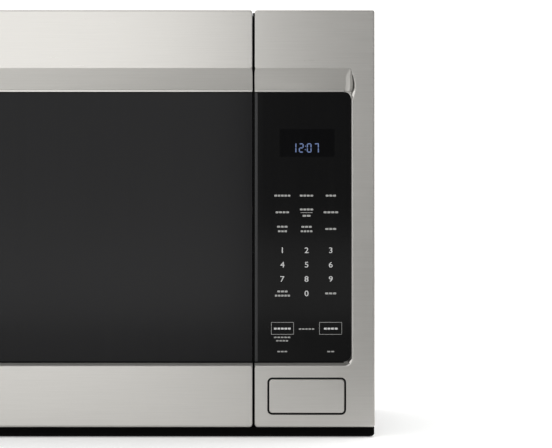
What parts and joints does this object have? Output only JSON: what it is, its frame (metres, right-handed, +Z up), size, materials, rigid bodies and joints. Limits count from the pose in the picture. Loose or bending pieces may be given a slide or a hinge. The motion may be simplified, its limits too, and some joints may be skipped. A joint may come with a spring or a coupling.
{
  "type": "over-the-range microwave oven",
  "caption": "Over-the-range microwave with a scooped stainless front, black glass door and control panel, push-button release, turntable, hood blower and drop-down grease filters.",
  "frame": {"origin": "middle of the footprint on the lowest face of the base pan", "axes": "+Z up, +X to the right seen from the front, front faces -Y"},
  "size_m": [0.76, 0.394, 0.44],
  "materials": {
    "steel": "brushed",
    "black_glass": "gloss",
    "case_paint": "satin",
    "base_black": "satin",
    "zinc": "plain",
    "cavity_enamel": "satin",
    "black_plastic": "fine texture",
    "grey_plastic": "smooth",
    "display": "gloss",
    "board": "smooth",
    "mica": "matte",
    "aluminium": "plain",
    "core_steel": "matte",
    "lamp_glass": "frosted",
    "charcoal": "matte",
    "clear_glass": "clear",
    "spring_steel": "bright",
    "button_silver": "brushed",
    "red_plastic": "gloss",
    "filter_mesh": "mesh"
  },
  "bodies": {
    "cabinet": {"outer_case": "case_paint", "base_plate": "base_black", "back_plate": "zinc", "mounting_plate": "zinc", "oven_cavity": "cavity_enamel", "front_frame": "cavity_enamel", "control_fascia": "steel", "control_glass": "black_glass", "control_housing": "black_plastic", "display_module": "display", "control_board": "board", "hinge_brackets": "zinc", "hinge_pins": "zinc", "latch_board": "black_plastic", "interlock_switches": "black_plastic", "waveguide": "zinc", "waveguide_cover": "mica", "magnetron": "aluminium", "high_voltage_transformer": "core_steel", "high_voltage_capacitor": "zinc", "fan_shroud": "grey_plastic", "cooling_fan_motor": "core_steel", "noise_filter_board": "board", "turntable_motor": "zinc", "cavity_lamp": "lamp_glass", "thermal_cutoffs": "zinc", "cooktop_lamps": "lamp_glass", "blower_housing": "zinc", "blower_motor": "core_steel", "damper_frame": "zinc", "charcoal_filter": "charcoal", "vent_grille": "black_plastic", "case_screws": "zinc", "mount_nuts": "zinc"},
    "door": {"door_skin": "steel", "door_glass": "black_glass", "door_frame": "black_plastic", "choke_panel": "cavity_enamel", "window_screen": "cavity_enamel", "inner_window": "clear_glass", "choke_cover": "black_plastic"},
    "latch": {"latch_hooks": "grey_plastic", "latch_spring": "spring_steel"},
    "button": {"release_button": "button_silver", "release_spring": "spring_steel"},
    "lever": {"release_lever": "grey_plastic"},
    "plungers": {"switch_buttons": "red_plastic"},
    "turntable": {"turntable_coupler": "grey_plastic", "glass_tray": "clear_glass"},
    "roller": {"roller_ring": "grey_plastic"},
    "wheel_1": {"roller_wheel_1": "grey_plastic"},
    "wheel_2": {"roller_wheel_2": "grey_plastic"},
    "wheel_3": {"roller_wheel_3": "grey_plastic"},
    "blower": {"blower_wheels": "aluminium"},
    "fan": {"cooling_fan": "black_plastic"},
    "damper": {"damper_flap": "zinc"},
    "filter_left": {"grease_filter_left": "filter_mesh"},
    "filter_right": {"grease_filter_right": "filter_mesh"},
    "lamp_lid": {"lamp_cover": "clear_glass"}
  },
  "joints": [
    {"name": "door_hinge", "type": "hinge", "parent": "cabinet", "child": "door", "pos_m": [-0.372, -0.178, 0.225], "axis": [0, 0, -1], "range_deg": [0, 105]},
    {"name": "release_push", "type": "slide", "parent": "cabinet", "child": "button", "axis": [0, 1, 0], "range_m": [0, 0.004], "stiffness_N_per_m": 500, "springref_m": -0.003},
    {"name": "latch_lift", "type": "slide", "parent": "door", "child": "latch", "axis": [0, 0, 1], "range_m": [0, 0.0044]},
    {"name": "lever_turn", "type": "hinge", "parent": "cabinet", "child": "lever", "pos_m": [0.28, -0.1485, 0.062], "axis": [1, 0, 0], "range_deg": [0, 12.32]},
    {"name": "plunger_travel", "type": "slide", "parent": "cabinet", "child": "plungers", "axis": [0, -1, 0], "range_m": [0, 0.0015]},
    {"name": "turntable_spin", "type": "hinge", "parent": "cabinet", "child": "turntable", "pos_m": [-0.06, 0.003, 0.09], "axis": [0, 0, 1], "continuous": true},
    {"name": "roller_ring_spin", "type": "hinge", "parent": "cabinet", "child": "roller", "pos_m": [-0.06, 0.003, 0.0881], "axis": [0, 0, 1], "continuous": true},
    {"name": "roller_wheel_1_spin", "type": "hinge", "parent": "roller", "child": "wheel_1", "pos_m": [0.045, 0.003, 0.0881], "axis": [1, 0, 0], "continuous": true},
    {"name": "roller_wheel_2_spin", "type": "hinge", "parent": "roller", "child": "wheel_2", "pos_m": [-0.1125, 0.09393, 0.0881], "axis": [-0.5, 0.866, 0], "continuous": true},
    {"name": "roller_wheel_3_spin", "type": "hinge", "parent": "roller", "child": "wheel_3", "pos_m": [-0.1125, -0.08793, 0.0881], "axis": [-0.5, -0.866, 0], "continuous": true},
    {"name": "blower_spin", "type": "hinge", "parent": "cabinet", "child": "blower", "pos_m": [0, 0.15, 0.381], "axis": [1, 0, 0], "continuous": true},
    {"name": "cooling_fan_spin", "type": "hinge", "parent": "cabinet", "child": "fan", "pos_m": [0.292, 0.116, 0.252], "axis": [0, 1, 0], "continuous": true},
    {"name": "damper_open", "type": "hinge", "parent": "cabinet", "child": "damper", "pos_m": [0, 0.1768, 0.42674], "axis": [-1, 0, 0], "range_deg": [0, 80]},
    {"name": "filter_left_drop", "type": "hinge", "parent": "cabinet", "child": "filter_left", "pos_m": [-0.175, 0.168, 0.001], "axis": [1, 0, 0], "range_deg": [0, 35]},
    {"name": "filter_right_drop", "type": "hinge", "parent": "cabinet", "child": "filter_right", "pos_m": [0.175, 0.168, 0.001], "axis": [1, 0, 0], "range_deg": [0, 35]},
    {"name": "lamp_cover_drop", "type": "hinge", "parent": "cabinet", "child": "lamp_lid", "pos_m": [0, -0.087, 0.0021], "axis": [1, 0, 0], "range_deg": [0, 75]}
  ],
  "couplings": [
    {"joint": "latch_lift", "follows": "release_push", "ratio": 1.1},
    {"joint": "lever_turn", "follows": "release_push", "rad_per_m": 53.75},
    {"joint": "plunger_travel", "follows": "door_hinge", "m_per_rad": 0.000818},
    {"joint": "roller_ring_spin", "follows": "turntable_spin", "ratio": 0.5},
    {"joint": "roller_wheel_1_spin", "follows": "turntable_spin", "ratio": -6.5625},
    {"joint": "roller_wheel_2_spin", "follows": "turntable_spin", "ratio": -6.5625},
    {"joint": "roller_wheel_3_spin", "follows": "turntable_spin", "ratio": -6.5625}
  ]
}
